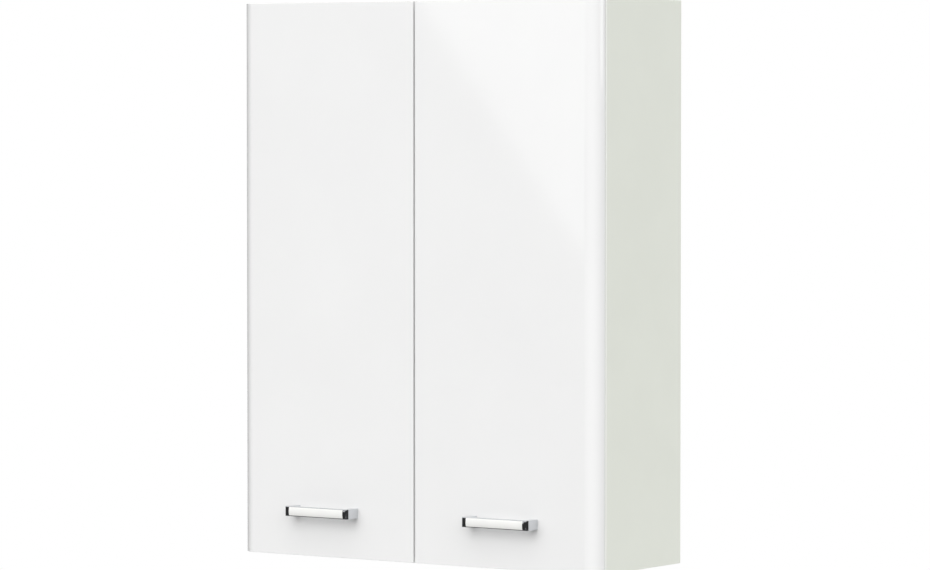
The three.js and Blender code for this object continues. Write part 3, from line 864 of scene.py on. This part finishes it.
def makeLevelBoard(node, name, innerFace, inwards):
    low, high = nodeBox(node)
    board = newBlock(name, low, high)
    finishBoard(board)
    gap = boardSet["grooveGap"]
    reach = sorted((innerFace - inwards * through, innerFace + inwards * boardSet["groove"]))
    groove = newBlock("groove", (low.x - through, backLow.y - gap, reach[0]),
                      (high.x + through, backHigh.y + gap, reach[1]))
    useBoolean(board, groove, "DIFFERENCE")
    places = [(x, boltY, innerFace) for x in (-camX, camX)]
    boreAll(board, places, boardSet["camBore"], boardSet["camBoreDepth"], "z", 48)
    places = [(x, boltY, (low.z + high.z) / 2) for x in (-innerX, innerX)]
    boreAll(board, places, boardSet["boltBore"], innerX - camX, "x")
    tidyMesh(board, boardSet["smooth"])
    settle(board, "carcass", melamine, [node])
    paintTapeAndPaintedLight(board)


def makeShelf(node, name):
    board = newBlock(name, *nodeBox(node))
    finishBoard(board)
    tidyMesh(board, boardSet["smooth"])
    settle(board, "carcass", melamine, [node])
    paintTapeAndPaintedLight(board)


backSet = {"arris": 0.3 * mm, "windowHalf": 18 * mm, "windowBottom": 16 * mm, "windowTop": 26 * mm,
           "windowCorner": 2.5 * mm}


def makeBack():
    # the hardboard back, with a window for each hook
    panel = newBlock("back_board", backLow, backHigh)
    roundEdges(panel, backSet["arris"], 2, isSharp)
    for node in ("hanger_hook_left", "hanger_hook_right"):
        x = nodeMiddle(node).x
        half = backSet["windowHalf"]
        window = newBlock("window", (x - half, backLow.y - through, backSet["windowBottom"]),
                          (x + half, backHigh.y + through, backSet["windowTop"]))
        roundEdges(window, backSet["windowCorner"], 5, alongAxis("y"))
        useBoolean(panel, window, "DIFFERENCE")
    tidyMesh(panel, boardSet["smooth"])
    settle(panel, "carcass", hardboard, ["back_panel"])


bothSides(makeSidePanel(), "side_board", "carcass", melamine, "side_panel_{side}", paintTapeAndPaintedLight)
makeLevelBoard("top_panel", "top_board", topBoardUnderside, 1)
makeLevelBoard("bottom_panel", "bottom_board", bottomBoardTop, -1)
makeShelf("shelf_lower", "lower_shelf")
makeShelf("shelf_upper", "upper_shelf")
makeBack()
print("carcass boards made")


# shelf pins
pinSet = {"stub": 2.35 * mm, "stubLength": 9 * mm, "stubStart": 0.4 * mm, "stubEnd": 0.5 * mm,
          "collar": 4.0 * mm, "collarThickness": 0.8 * mm, "tongueThickness": 1.6 * mm, "corner": 2.8 * mm,
          "rib": 1.8 * mm, "ribSetBack": 1.5 * mm, "ribBelow": 0.5 * mm, "ribSlope": 2.6 * mm}


def makeShelfPin():
    # a spade pin: a flat tongue under the shelf, stiffened by a rib, with a collar against the side panel
    low, high = nodeBox("shelf_pin_right_lower_front")
    middle = (low + high) / 2
    tongue = newBlock("tongue", (low.x, low.y, high.z - pinSet["tongueThickness"]), (innerX, high.y, high.z))
    for y in (low.y, high.y):
        roundEdges(tongue, pinSet["corner"], 6, nearPlace(x=low.x, y=y))
    ribStart = low.x + pinSet["ribSetBack"]
    rib = newBlock("rib", (ribStart, middle.y - pinSet["rib"] / 2, low.z),
                   (innerX, middle.y + pinSet["rib"] / 2, high.z - pinSet["ribBelow"]))
    roundEdges(rib, pinSet["ribSlope"], 1, nearPlace(x=ribStart, z=low.z))
    useBoolean(tongue, rib, "UNION")
    collar = newRod("collar", (innerX - pinSet["collarThickness"] / 2, middle.y, middle.z),
                    pinSet["collar"], pinSet["collarThickness"], "x", 40)
    useBoolean(tongue, collar, "UNION")
    stubMiddle = innerX + pinSet["stubLength"] / 2 - pinSet["stubStart"]
    stub = newRod("stub", (stubMiddle, middle.y, middle.z), pinSet["stub"], pinSet["stubLength"], "x")
    roundEdges(stub, pinSet["stubEnd"], 2, lambda edge: all(v.co.x > stubMiddle for v in edge.verts))
    useBoolean(tongue, stub, "UNION")
    tidyMesh(tongue, turnedAngle)
    return tongue


firstPin = nodeMiddle("shelf_pin_right_lower_front")
pinShifts = {label: nodeMiddle(f"shelf_pin_right_{label}") - firstPin for label in pinLabels}
spread(makeShelfPin(), "spade_pin", pinShifts, "carcass", nickel, "shelf_pin_{side}_{label}")
print("shelf pins made")


# cams and their bolts
camSet = {"chamfer": 0.5 * mm, "slotHalf": 3.7 * mm, "slotStart": -2 * mm, "rim": 1.1 * mm, "dish": 0.5 * mm,
          "dishSlope": 0.2 * mm, "recess": (7.0 * mm, 2.0 * mm), "recessDepth": 3.0 * mm}


def makeCam(level, outwards):
    # outwards is +1 where the screwdriver face looks up and -1 where it looks down
    low, high = nodeBox(f"cam_right_{level}")
    middle = (low + high) / 2
    radius = (high.y - low.y) / 2
    height = high.z - low.z
    dished = radius - camSet["rim"]
    chamfer = camSet["chamfer"]
    rings = [(0, radius - chamfer), (chamfer, radius), (height - chamfer, radius), (height, radius - chamfer),
             (height, dished), (height - camSet["dish"], dished - camSet["dishSlope"])]
    cam = newTurned("cam", rings, 48)
    cutCross(cam, camSet["recess"], camSet["recessDepth"], height)
    slotHalf = camSet["slotHalf"]
    boltLevel = height / 2 + outwards * (nodeMiddle(f"cam_bolt_right_{level}").z - middle.z)
    slot = newBlock("slot", (camSet["slotStart"], -slotHalf, boltLevel - slotHalf),
                    (radius + through, slotHalf, boltLevel + slotHalf))
    useBoolean(cam, slot, "DIFFERENCE")
    placeTurned(cam, (middle.x, middle.y, middle.z - outwards * height / 2), "+z" if outwards > 0 else "-z")
    tidyMesh(cam, turnedAngle)
    return cam


boltSet = {"neck": 2.0 * mm, "headLength": 3.0 * mm, "headRound": 0.8 * mm, "headEnd": 0.7,
           "neckLength": 4.5 * mm, "taper": 1.0 * mm, "pitch": 1.0 * mm, "root": 1.9 * mm, "rootAt": 0.1,
           "crestAt": 0.5, "thread": 2.4 * mm, "turns": 9, "tip": 1.2 * mm}


def makeCamBolt():
    low, high = nodeBox("cam_bolt_right_top")
    middle = (low + high) / 2
    shank = (high.y - low.y) / 2
    threadStart = innerX - low.x
    headEnd = boltSet["headLength"]
    neckEnd = headEnd + boltSet["neckLength"]
    neck, softened = boltSet["neck"], boltSet["headRound"]
    rings = [(0, boltSet["headEnd"] * shank), (softened, shank), (headEnd - softened, shank), (headEnd, neck),
             (neckEnd, neck), (neckEnd + boltSet["taper"], shank), (threadStart, shank)]
    for i in range(boltSet["turns"]):
        rings.append((threadStart + (i + boltSet["rootAt"]) * boltSet["pitch"], boltSet["root"]))
        rings.append((threadStart + (i + boltSet["crestAt"]) * boltSet["pitch"], boltSet["thread"]))
    rings.append((high.x - low.x, boltSet["tip"]))
    bolt = newTurned("bolt", rings, 32)
    placeTurned(bolt, (low.x, middle.y, middle.z), "+x")
    tidyMesh(bolt, turnedAngle)
    return bolt


for level, outwards in (("top", -1), ("bottom", 1)):
    bothSides(makeCam(level, outwards), "cam_housing", "carcass", castZinc,
              "cam_{side}_" + level, suffix="_" + level)
boltShift = nodeMiddle("cam_bolt_right_bottom") - nodeMiddle("cam_bolt_right_top")
spread(makeCamBolt(), "threaded_bolt", {"top": Vector(), "bottom": boltShift}, "carcass", castZinc,
       "cam_bolt_{side}_{label}")
print("cams made")


# hinges: modelled at the upper right, then copied down and mirrored
hingeShifts = {"top": Vector(), "bottom": Vector((0, 0, hingeHeights["bottom"] - hingeHeights["top"]))}
hingeZ = hingeHeights["top"]


def makeCup():
    low, high = nodeBox("hinge_cup_right_top")
    depth = high.y - low.y
    inside = cupRadius - cupSet["wall"]
    lip = cupSet["lip"]
    near, far = cupSet["bottomRound"]
    floor = cupSet["floor"]
    rings = [(0, cupRadius - far), (near, cupRadius - near), (far, cupRadius), (depth - lip, cupRadius),
             (depth, cupRadius - lip), (depth, inside + lip), (depth - lip, inside),
             (floor + far, inside), (floor + near, inside - near), (floor, inside - far)]
    cup = newTurned("cup", rings, 96)
    placeTurned(cup, (cupCentreX, low.y, hingeZ), "+y")
    half = Vector((wingSet["halfWidth"], wingSet["thickness"] / 2, wingSet["halfLength"]))
    centre = Vector((wingX, high.y - wingSet["thickness"] / 2, hingeZ))
    wing = newBlock("wing", centre - half, centre + half)
    roundEdges(wing, cupSet["corner"], 8, alongAxis("y"))
    softenEdges(wing, cupSet["arris"], 2, blockAngle)
    hollow = newRod("hollow", (cupCentreX, high.y, hingeZ), inside, through, "y", 96)
    useBoolean(wing, hollow, "DIFFERENCE")
    for z in (-cupSet["screwSpacing"] / 2, cupSet["screwSpacing"] / 2):
        hole = newRod("hole", (wingX, high.y, hingeZ + z), cupSet["screwHole"], through, "y")
        useBoolean(wing, hole, "DIFFERENCE")
    useBoolean(cup, wing, "UNION")
    for pivot in (outerPivot, innerPivot):
        pin = newRod("pin", (pivot.x, pivot.y, hingeZ), cupSet["pin"], 2 * cupSet["lug"][1])
        useBoolean(cup, pin, "UNION")
    # a pair of lugs inside the cup holds the pins
    gap = cupSet["lugGap"]
    for sign in (-1, 1):
        span = sorted(hingeZ + sign * reach for reach in cupSet["lug"])
        lug = newBlock("lug", (innerPivot.x + cupSet["lugReach"][0], low.y + gap, span[0]),
                       (innerX + cupSet["lugReach"][1], high.y - gap, span[1]))
        inner = newRod("inside", (cupCentreX, (low.y + high.y) / 2, hingeZ), inside + cupSet["lugSunk"],
                       depth - gap, "y", 96)
        useBoolean(lug, inner, "INTERSECT")
        useBoolean(cup, lug, "UNION")
    tidyMesh(cup, turnedAngle)
    return cup


plateSet = {"thickness": 2.5 * mm, "setBack": 37 * mm, "halfDepth": 7 * mm, "corner": 6.5 * mm,
            "arris": 0.4 * mm, "bossHalf": 7.5 * mm, "bossCorner": 1.5 * mm, "screwOffset": 18 * mm,
            "screwHole": 2.3 * mm}
plateY = carcassFront + plateSet["setBack"]


def makePlate():
    low, high = nodeBox("mounting_plate_right_top")
    halfDepth = plateSet["halfDepth"]
    wing = newBlock("plate", (high.x - plateSet["thickness"], plateY - halfDepth, low.z),
                    (high.x, plateY + halfDepth, high.z))
    roundEdges(wing, plateSet["corner"], 8, alongAxis("x"))
    softenEdges(wing, plateSet["arris"], 2, blockAngle)
    for z in (-plateSet["screwOffset"], plateSet["screwOffset"]):
        hole = newRod("hole", (high.x, plateY, hingeZ + z), plateSet["screwHole"], 2 * through, "x")
        useBoolean(wing, hole, "DIFFERENCE")
    bossHalf = plateSet["bossHalf"]
    boss = newBlock("boss", (low.x, low.y, hingeZ - bossHalf), (high.x, high.y, hingeZ + bossHalf))
    roundEdges(boss, plateSet["bossCorner"], 4, nearPlace(x=low.x))
    useBoolean(wing, boss, "UNION")
    tidyMesh(wing, turnedAngle)
    return wing


linkSet = {"arris": 0.22 * mm}
armSet = {"arris": 0.7 * mm, "face": 20.5 * mm, "dishHalf": (0.7 * mm, 5.0 * mm, 3.9 * mm),
          "dishCorner": 2.5 * mm, "screws": (26 * mm, 50 * mm), "screwSeat": 19.9 * mm}


def makeArm():
    # a pressed arm: the two adjusting screws sit in a shallow dish
    arm = refined("hinge_arm_right_top", "arm", armSet["arris"], 3)
    for y in armSet["screws"]:
        half = Vector(armSet["dishHalf"])
        centre = Vector((innerX - armSet["face"], carcassFront + y, hingeZ))
        dish = newBlock("dish", centre - half, centre + half)
        roundEdges(dish, armSet["dishCorner"], 5, alongAxis("x"))
        useBoolean(arm, dish, "DIFFERENCE")
    tidyMesh(arm, pressedAngle)
    return arm


def spreadHinge(first, kind, body, node):
    spread(first, kind, hingeShifts, body, nickel, node)


def spreadScrews(kind, name, axis, seats, body):
    # each hinge has a pair of these screws
    screw = makeScrew(kind, seats[0], axis)
    shifts = {f"{level}_{end}": hingeShifts[level] + seat - seats[0]
              for level in levels for end, seat in zip("ab", seats)}
    spread(screw, name, shifts, body, zinc)


spreadHinge(makeCup(), "cup", "door_{side}", "hinge_cup_{side}_{label}")
spreadHinge(makePlate(), "plate", "carcass", "mounting_plate_{side}_{label}")
spreadHinge(makeArm(), "arm", "carcass", "hinge_arm_{side}_{label}")
for kind in ("outer_link", "inner_link"):
    link = refined(f"hinge_{kind}_right_top", "link", linkSet["arris"], 2)
    spreadHinge(link, kind, kind + "s_{side}", f"hinge_{kind}_{{side}}_{{label}}")

plateSeats = [Vector((innerX - plateSet["thickness"], plateY, hingeZ + z))
              for z in (-plateSet["screwOffset"], plateSet["screwOffset"])]
cupSeats = [Vector((wingX, doorRear - cupSet["screwSunk"], hingeZ + z))
            for z in (-cupSet["screwSpacing"] / 2, cupSet["screwSpacing"] / 2)]
armSeats = [Vector((innerX - armSet["screwSeat"], carcassFront + y, hingeZ)) for y in armSet["screws"]]
spreadScrews("plate", "plate_screw", "-x", plateSeats, "carcass")
spreadScrews("cup", "cup_screw", "+y", cupSeats, "door_{side}")
spreadScrews("arm", "arm_screw", "-x", armSeats, "carcass")
print("hinges made")


# hangers and rail
hangerSet = {"corner": 3.0 * mm, "arris": 0.3 * mm, "frame": 5.2 * mm, "fieldCorner": 2 * mm,
             "sunk": 0.8 * mm, "wall": 3 * mm, "slotGap": 1 * mm, "slotHeight": 4 * mm, "bore": 3.2 * mm,
             "boreDepth": 5 * mm, "screwOffset": 11 * mm, "screwHeight": 9 * mm, "screwSunk": 3 * mm,
             "hookArris": 0.7 * mm}


def makeHanger():
    # a moulded housing whose front has a shallow sunk field and two bores for the adjusting screws
    low, high = nodeBox("hanger_housing_right")
    hookLow, hookHigh = nodeBox("hanger_hook_right")
    housing = newBlock("hanger", low, high)
    roundEdges(housing, hangerSet["corner"], 6, nearPlace(y=low.y))
    softenEdges(housing, hangerSet["arris"], 2, blockAngle)
    border = hangerSet["frame"]
    field = newBlock("field", (low.x + border, low.y - through, low.z + border),
                     (high.x - border, low.y + hangerSet["sunk"], high.z - border))
    roundEdges(field, hangerSet["fieldCorner"], 5, alongAxis("y"))
    useBoolean(housing, field, "DIFFERENCE")
    gap = hangerSet["slotGap"]
    slotBottom = hookHigh.z - hangerSet["slotHeight"]
    slot = newBlock("slot", (hookLow.x - gap, low.y + hangerSet["wall"], slotBottom),
                    (hookHigh.x + gap, high.y + through, hookHigh.z + gap))
    useBoolean(housing, slot, "DIFFERENCE")
    middle = (low.x + high.x) / 2
    for x in (middle - hangerSet["screwOffset"], middle + hangerSet["screwOffset"]):
        centre = (x, low.y, low.z + hangerSet["screwHeight"])
        bore = newRod("bore", centre, hangerSet["bore"], 2 * hangerSet["boreDepth"], "y", 40)
        useBoolean(housing, bore, "DIFFERENCE")
    tidyMesh(housing, boardSet["smooth"])
    return housing


railSet = {"thickness": 2 * mm, "offset": 5 * mm, "lipHeight": 6 * mm, "bend": 0.7 * mm, "bendAngle": 30,
           "hole": 3.2 * mm, "holeLevel": -4 * mm, "holes": (-210 * mm, -70 * mm, 70 * mm, 210 * mm)}


def makeRail():
    # a steel strip: its upper part is joggled forwards and stands up as the lip for the hooks
    low, high = nodeBox("wall_rail")
    rail = newBlock("hanging_rail", (low.x, -railSet["thickness"], low.z),
                    (high.x, 0, high.z - railSet["lipHeight"] - railSet["offset"]))
    focus(rail)
    bpy.ops.object.mode_set(mode="EDIT")
    bpy.ops.mesh.select_all(action="DESELECT")
    bpy.ops.mesh.select_mode(type="FACE")
    mesh = bmesh.from_edit_mesh(rail.data)
    for face in mesh.faces:
        face.select_set(face.normal.z > 0.9)
    bmesh.update_edit_mesh(rail.data)
    joggle = (0, -railSet["offset"], railSet["offset"])
    bpy.ops.mesh.extrude_region_move(TRANSFORM_OT_translate={"value": joggle})
    bpy.ops.mesh.extrude_region_move(TRANSFORM_OT_translate={"value": (0, 0, railSet["lipHeight"])})
    bpy.ops.object.mode_set(mode="OBJECT")
    softenEdges(rail, railSet["bend"], 3, railSet["bendAngle"])
    places = [(x, -railSet["thickness"] / 2, railSet["holeLevel"]) for x in railSet["holes"]]
    boreAll(rail, places, railSet["hole"], through, "y", 40)
    tidyMesh(rail, turnedAngle)
    settle(rail, "carcass", zinc, ["wall_rail"])


bothSides(makeHanger(), "hanger", "carcass", hangerPlastic, "hanger_housing_{side}")
hook = refined("hanger_hook_right", "hook", hangerSet["hookArris"], 3)
bothSides(hook, "hook", "carcass", zinc, "hanger_hook_{side}")
hangerLow = nodeBox("hanger_housing_right")[0]
screwSeat = Vector((nodeMiddle("hanger_housing_right").x - hangerSet["screwOffset"],
                    hangerLow.y + hangerSet["screwSunk"], hangerLow.z + hangerSet["screwHeight"]))
betweenScrews = Vector((2 * hangerSet["screwOffset"], 0, 0))
spread(makeScrew("hanger", screwSeat, "-y"), "hanger_screw", {"inner": Vector(), "outer": betweenScrews},
       "carcass", zinc)
makeRail()
print("hangers and rail made")


# door bumpers
bumperSet = {"radius": 4.0 * mm, "height": 1.6 * mm, "fromEdge": 10 * mm, "fromEnd": 9 * mm,
             "foot": 0.94, "rim": 0.15 * mm, "steps": 6, "smooth": 60}


def makeBumper():
    # a stick-on silicone dome, where the door's corner meets the carcass
    radius, rim, steps = bumperSet["radius"], bumperSet["rim"], bumperSet["steps"]
    rings = [(0, radius * bumperSet["foot"]), (rim, radius)]
    for i in range(1, steps + 1):
        turn = math.pi / 2 * i / (steps + 1)
        rings.append((rim + (bumperSet["height"] - rim) * math.sin(turn), radius * math.cos(turn)))
    bumper = newTurned("bumper", rings, 40)
    place = (doorLow.x + bumperSet["fromEdge"], doorRear, doorHigh.z - bumperSet["fromEnd"])
    placeTurned(bumper, place, "+y")
    tidyMesh(bumper, bumperSet["smooth"])
    return bumper


betweenBumpers = doorHigh.z - doorLow.z - 2 * bumperSet["fromEnd"]
spread(makeBumper(), "bumper", {"top": Vector(), "bottom": Vector((0, 0, -betweenBumpers))},
       "door_{side}", silicone)
print("bumpers made")
